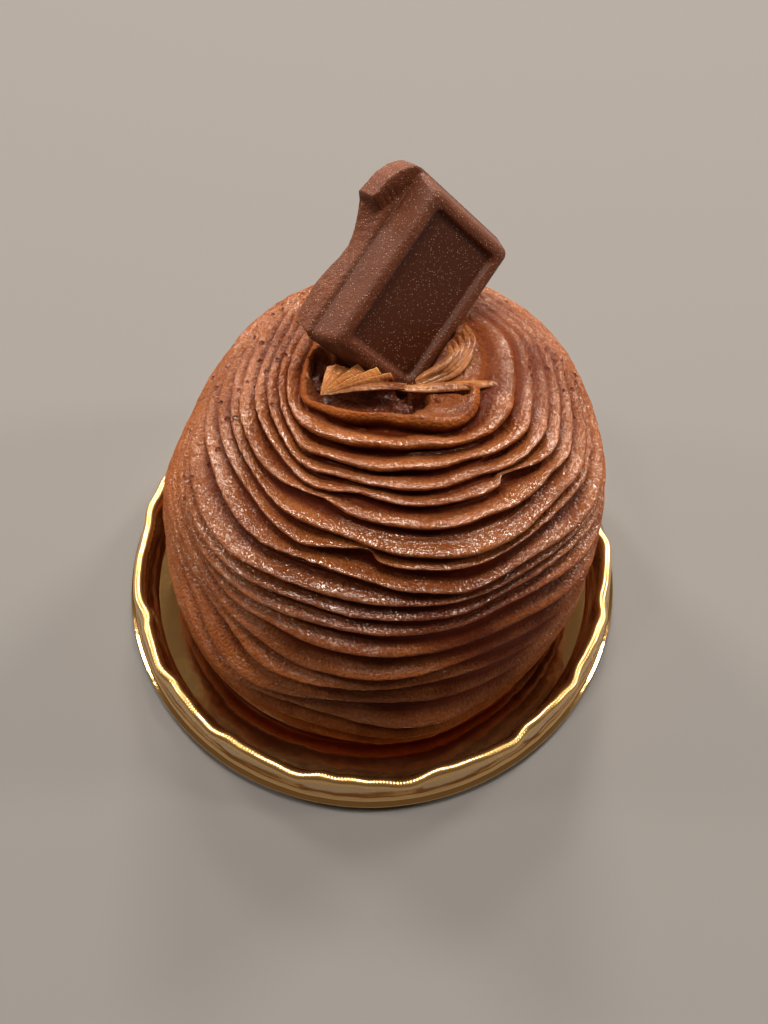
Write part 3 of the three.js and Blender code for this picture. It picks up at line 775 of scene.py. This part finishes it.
# Strands on the crown: name, path, half width and half height in millimetres
STRANDS = [
    ("cream_curl_1", [
        (11.6, 10.1, 55.4), (12.4, 7.0, 55.8), (11.0, 3.1, 55.9), (8.5, 0.9, 55.8), (5.0, -0.5, 55.6),
    ], 0.7, 0.45),
    ("cream_curl_2", [
        (11.1, 9.2, 55.8), (11.7, 6.5, 56.2), (10.1, 2.9, 56.3), (7.6, 0.9, 56.1), (4.9, -0.3, 55.7),
    ], 0.65, 0.4),
    ("cream_curl_3", [
        (10.5, 7.8, 56.2), (10.9, 5.5, 56.5), (9.3, 2.6, 56.6), (7.1, 1.1, 56.3), (4.8, -0.1, 55.8),
    ], 0.65, 0.4),
    ("cream_curl_4", [
        (9.8, 6.7, 56.5), (10.1, 4.5, 56.8), (8.5, 2.2, 56.8), (6.6, 1.0, 56.5), (4.7, 0.1, 55.9),
    ], 0.6, 0.4),
    ("cream_curl_5", [
        (9.2, 5.6, 56.7), (9.4, 3.6, 57.0), (7.9, 1.8, 57.0), (6.2, 0.9, 56.6), (4.7, 0.2, 56.0),
    ], 0.6, 0.4),
    ("cream_flap", [
        (1.8, -0.9, 55.6), (4.7, -0.95, 55.8), (7.6, -0.65, 55.75), (11.6, 0.0, 55.6), (14.3, 0.6, 55.2),
        (16.4, 1.4, 54.4),
    ], 0.8, 0.3),
]
STRAND_ROWS = 90
STRAND_COLUMNS = 28


def strand_points(path, width, height):
    """Flattened strand along a spline: at each point an ellipse across the path that thins to both ends."""
    curve = spline(path)
    run = np.linspace(0, run_length(curve)[-1], STRAND_ROWS)
    line = along(curve, run)
    ahead = np.gradient(line, axis=0)
    ahead /= np.linalg.norm(ahead, axis=1)[:, None]
    side = np.cross(ahead, (0, 0, 1))
    side /= np.linalg.norm(side, axis=1)[:, None]
    up = np.cross(side, ahead)
    taper = (np.sin(np.linspace(0.06, math.pi - 0.06, len(run))) ** 0.5)[:, None, None]
    turn = np.linspace(0, TAU, STRAND_COLUMNS, endpoint=False)[None, :, None]
    ring = width * np.cos(turn) * side[:, None] + height * np.sin(turn) * up[:, None]
    return line[:, None] + taper * ring


# Moulded section of the chocolate piece from the middle of its back to that of its panel: height and inset
CHOCOLATE_SECTION = [
    (-3.8, 4.0), (-3.8, 1.5), (-3.65, 0.6), (-3.2, 0.15), (-2.6, 0), (-0.9, 0), (-0.45, 0.06), (-0.12, 0.3),
    (0.05, 0.42), (0.25, 0.36), (0.6, 0.42), (3.0, 1.2), (3.5, 1.42), (3.82, 1.75), (3.97, 2.2), (3.97, 2.65),
    (3.86, 3.02), (3.6, 3.28), (3.3, 3.45), (3.14, 3.66), (3.1, 4.1), (3.1, 5.5), (3.1, 8.4),
]
CHOCOLATE_ROWS = 150
CHOCOLATE_COLUMNS = 560
# Middle of the piece in millimetres, and the directions along it and out of its moulded face
CHOCOLATE_AT = np.array([3.35, 11.87, 60.99])
CHOCOLATE_ALONG = np.array([0.534, 0.700, 0.474])
CHOCOLATE_OUT = np.array([0.577, -0.712, 0.401])


def chocolate_axes():
    """Unit axes of the piece: across, along and out of its moulded face."""
    lengthwise = CHOCOLATE_ALONG / np.linalg.norm(CHOCOLATE_ALONG)
    out = CHOCOLATE_OUT - lengthwise * (CHOCOLATE_OUT @ lengthwise)
    out /= np.linalg.norm(out)
    return np.stack([np.cross(lengthwise, out), lengthwise, out])


# Broken left side of the slab: place along the piece and how far its back edge stands out, in millimetres
BROKEN_EDGE = np.array([
    (-14, 0.4), (-11, 1.0), (-8.5, 1.2), (-6.5, 1.25), (-4.3, 0.9), (-2.2, 0.4), (-0.15, 0.25), (1.5, 0.75),
    (3.1, 1.5), (4.2, 2.15), (5.4, 2.95), (6.1, 3.8), (7.5, 3.55), (9.4, 3.25), (11.3, 2.3), (13.2, 0.6),
    (14, -0.6),
])
# How far the lip climbs, how much the lobe swells and how far the low end is cut back, in millimetres
LIP_RUN = 5.5
LOBE_SWELL = 0.9
LOW_CUT = 1.7


def chocolate_points(c):
    """Bar piece: rounded rectangles stacked along the moulded section, drawn in by its inset.

    A point of a rectangle is a corner of the inner rectangle plus the corner radius along its normal. On the
    left the slab is broken. It stands out by a curve along the piece, below the lip as a slanting cut and
    above it as a lobe.
    """
    half = np.array([c.width / MM / 2, c.length / MM / 2])
    corner = c.corner / MM
    inner = half - corner
    arc = np.radians(np.linspace(0, 90, 13))
    arcs = [arc + k * math.pi / 2 for k in range(4)]
    normal = np.concatenate([np.stack([np.cos(turn), np.sin(turn)], -1) for turn in arcs])
    core = np.repeat(np.array([[1, 1], [-1, 1], [-1, -1], [1, -1]]) * inner, len(arc), axis=0)
    both = np.concatenate([core, normal], axis=1)
    both = np.vstack([both, both[:1]])
    step = run_length(both[:, :2] + corner * both[:, 2:])
    sample = np.linspace(0, step[-1], CHOCOLATE_COLUMNS, endpoint=False)
    core, normal = np.split(np.stack([np.interp(sample, step, axis) for axis in both.T], -1), 2, axis=1)
    section = spline(CHOCOLATE_SECTION, 16)
    levels = along(section, np.linspace(0, run_length(section)[-1], CHOCOLATE_ROWS))
    height, inset = levels[:, :1], levels[:, 1:]
    x = core[None, :, 0] * (inner[0] - inset) / inner[0] + corner * normal[None, :, 0]
    y = core[None, :, 1] * (inner[1] - inset) / inner[1] + corner * normal[None, :, 1]
    left = smooth(0.1, 0.95, -normal[None, :, 0]) * smooth(3.2, 0.8, inset)
    out = np.interp(y, *BROKEN_EDGE.T)
    lip = c.lip / MM + LIP_RUN * smooth(-0.9, 0.25, height)
    lobe = smooth(lip - 0.35, lip + 0.35, y)
    rounded = smooth(0.25, -0.9, height)
    slant = np.clip((0.1 - height) / 3.5, 0, 1)
    rough = grain(*np.broadcast(x, y).shape, 71, 5)
    broken = lobe * rounded + (1 - lobe) * slant
    x = x - left * (out * broken + 0.022 * rough * rounded)
    lift = LOBE_SWELL * lobe * left * rounded * smooth(-3.2, -0.8, height) + 0.015 * rough * left * rounded
    z = height + lift + 0.012 * grain(*x.shape, 72, 3) * smooth(4.4, 3.8, inset)
    low = smooth(0.1, 0.95, -normal[None, :, 1]) * smooth(3.6, 0.8, inset)
    y = y + LOW_CUT * low * smooth(0.2, -3.6, height) + 0 * x
    local = np.stack([x, y, z], -1)
    # Painted light and shade with the break's own pale: the mark is high on the broken lobe, partly its own
    # colour and partly painted light, raised on the rim and bevel as painted highlight, and lowered in the
    # panel and on the back as painted shade
    rim = smooth(1.2, 1.8, inset) * smooth(3.4, 2.9, inset)
    bevel = smooth(0.3, 0.6, inset) * smooth(1.6, 1.3, inset) * smooth(0, 0.5, height)
    mark = 0.2 + 0.7 * left * rounded + 0.4 * rim + 0.35 * bevel - 0.2 * smooth(3.3, 3.6, inset) + 0 * x
    axes = chocolate_axes()
    ends = np.array([[0, 0, CHOCOLATE_SECTION[0][0]], [0, 0, CHOCOLATE_SECTION[-1][0]]])
    return CHOCOLATE_AT + local @ axes, CHOCOLATE_AT + ends @ axes, mark


class PASTRY_OT_tray(bpy.types.Operator):
    """Builds the gold foil tray"""

    bl_idname = "pastry.tray"
    bl_label = "Foil tray"

    def execute(self, context):
        c = context.scene.pastry_tray
        points, mark = tray_points(c)
        around = TAU * c.crest_radius / MM
        caps = [(0, 0, 0), (0, 0, c.floor_sheet / MM)]
        piece = surface("foil_tray", points, caps, {"crest": mark}, (around, 1.0))
        dress(piece, foil_material(c), "tray")
        return {"FINISHED"}


class PASTRY_OT_cream(bpy.types.Operator):
    """Builds the ridged dome of cream and the ribbon ends on its crown"""

    bl_idname = "pastry.cream"
    bl_label = "Piped cream"

    def execute(self, context):
        c = context.scene.pastry_cream
        material = cream_material(c, "piped chocolate cream", 0.4, c.lit)
        points, marks, total = dome_points(c)
        caps = [(*CREAM_FOOT, c.floor / MM), points[-1].mean(0)]
        dome = surface("cream_dome", points, caps, marks, (200.0, total))
        dress(dome, material, "cream")
        ribbon = cream_material(c, "smooth chocolate cream", 0.1, c.ribbon)
        fan, mark = fan_points()
        ends = [fan[0].mean(0), fan[-1].mean(0)]
        marks = {"crest": mark, "sheen": np.full(mark.shape, 0.5)}
        piece = surface("cream_fan", fan, ends, marks, (30.0, 10.0))
        dress(piece, ribbon)
        for name, path, width, height in STRANDS:
            strand = strand_points(path, width, height)
            ends = [strand[0].mean(0), strand[-1].mean(0)]
            marks = {"crest": np.full(strand.shape[:2], 0.7), "sheen": np.full(strand.shape[:2], 0.5)}
            piece = surface(name, strand, ends, marks, (6.0, 14.0))
            dress(piece, ribbon)
        return {"FINISHED"}


class PASTRY_OT_chocolate(bpy.types.Operator):
    """Builds the chocolate bar piece"""

    bl_idname = "pastry.chocolate"
    bl_label = "Chocolate piece"

    def execute(self, context):
        c = context.scene.pastry_chocolate
        points, caps, mark = chocolate_points(c)
        piece = surface("chocolate_piece", points, caps, {"crest": mark})
        dress(piece, chocolate_material(c), "chocolate")
        return {"FINISHED"}


# Lights: name, place, size across and power, in metres and watts, each aimed at the cake
LIGHTS = [
    ("window back", (0.0, 1.90, 0.91), 0.40, 26.0),
    ("window back left", (-1.26, 1.37, 0.99), 0.40, 23.0),
    ("window back right", (1.26, 1.37, 0.99), 0.40, 26.0),
    ("lamp above", (0.0, 0.08, 0.95), 0.26, 6.4),
    ("lamp behind", (0.0, 0.57, 0.76), 0.10, 2.2),
    ("lamp front left", (-0.33, -0.15, 0.87), 0.10, 1.2),
    ("lamp right", (0.81, 0.10, 0.48), 0.14, 3.0),
    ("lamp left", (-0.81, 0.10, 0.48), 0.14, 2.0),
]
LAMP_COLOUR = (1.0, 0.91, 0.79)
WORLD_COLOUR = (1.0, 0.72, 0.48, 1)
WORLD_STRENGTH = 0.12
# Half the floor's width, the camera's place, aim and near limit, and the aim of the lights, in metres
FLOOR_HALF = 2.0
CAMERA_AT = Vector((0.0, -0.1117, 0.2100))
CAMERA_AIM = Vector((0.001455, 0.01285, 0.0))
CAMERA_NEAR = 0.005
CAKE_MIDDLE = Vector((0.0, 0.0, 0.03))


def aim(at, target, roll=0.0):
    """Matrix of a camera or light at a place, its own -Z towards a target, turned about that line."""
    ahead = (target - at).normalized()
    right = ahead.cross(Vector((0, 0, 1))).normalized()
    up = right.cross(ahead)
    across = right * math.cos(roll) + up * math.sin(roll)
    top = up * math.cos(roll) - right * math.sin(roll)
    return Matrix.Translation(at) @ Matrix((across, top, -ahead)).transposed().to_4x4()


class PASTRY_OT_stage(bpy.types.Operator):
    """Sets up the floor, the lights and the camera"""

    bl_idname = "pastry.stage"
    bl_label = "Stage"

    def execute(self, context):
        c = context.scene.pastry_stage
        scene = context.scene
        mesh = bpy.data.meshes.new("floor")
        corners = [(-1, -1, 0), (1, -1, 0), (1, 1, 0), (-1, 1, 0)]
        mesh.from_pydata([Vector(corner) * FLOOR_HALF for corner in corners], [], [(0, 1, 2, 3)])
        floor = bpy.data.objects.new("floor", mesh)
        scene.collection.objects.link(floor)
        material, tree, output = blank("plain floor")
        shader = add(tree, "ShaderNodeBsdfPrincipled", {
            "Base Color": (*c.floor, 1), "Roughness": 0.7, "Specular IOR Level": 0.1,
        })
        tree.links.new(shader.outputs["BSDF"], output.inputs["Surface"])
        mesh.materials.append(material)
        for name, at, size, power in LIGHTS:
            light = bpy.data.lights.new(name, "AREA")
            light.size = size
            light.energy = power
            light.color = LAMP_COLOUR
            holder = bpy.data.objects.new(name, light)
            holder.matrix_world = aim(Vector(at), CAKE_MIDDLE)
            scene.collection.objects.link(holder)
        world = bpy.data.worlds.new("studio")
        world.use_nodes = True
        background = world.node_tree.nodes["Background"]
        background.inputs["Color"].default_value = WORLD_COLOUR
        background.inputs["Strength"].default_value = WORLD_STRENGTH
        scene.world = world
        camera = bpy.data.objects.new("camera", bpy.data.cameras.new("camera"))
        camera.data.lens = c.lens
        camera.data.clip_start = CAMERA_NEAR
        camera.matrix_world = aim(CAMERA_AT, CAMERA_AIM, c.roll)
        scene.collection.objects.link(camera)
        scene.camera = camera
        scene.view_settings.view_transform = "Standard"
        return {"FINISHED"}


class PASTRY_PT_panel(bpy.types.Panel):
    """Lists the pieces of the pastry"""

    bl_idname = "PASTRY_PT_panel"
    bl_label = "Mont blanc"
    bl_space_type = "VIEW_3D"
    bl_region_type = "UI"
    bl_category = "Pastry"

    def draw(self, context):
        for operator in OPERATORS:
            self.layout.operator(operator.bl_idname)


SETTINGS = {
    "pastry_tray": TraySettings,
    "pastry_cream": CreamSettings,
    "pastry_chocolate": ChocolateSettings,
    "pastry_stage": StageSettings,
}
OPERATORS = (PASTRY_OT_stage, PASTRY_OT_tray, PASTRY_OT_cream, PASTRY_OT_chocolate)


def register():
    for group in SETTINGS.values():
        bpy.utils.register_class(group)
    for name, group in SETTINGS.items():
        setattr(bpy.types.Scene, name, PointerProperty(type=group))
    for kind in (*OPERATORS, PASTRY_PT_panel):
        bpy.utils.register_class(kind)


def unregister():
    for kind in (PASTRY_PT_panel, *reversed(OPERATORS)):
        bpy.utils.unregister_class(kind)
    for name, group in SETTINGS.items():
        delattr(bpy.types.Scene, name)
        bpy.utils.unregister_class(group)


def main():
    register()
    bpy.ops.pastry.stage()
    bpy.ops.pastry.tray()
    bpy.ops.pastry.cream()
    bpy.ops.pastry.chocolate()


if __name__ == "__main__":
    main()
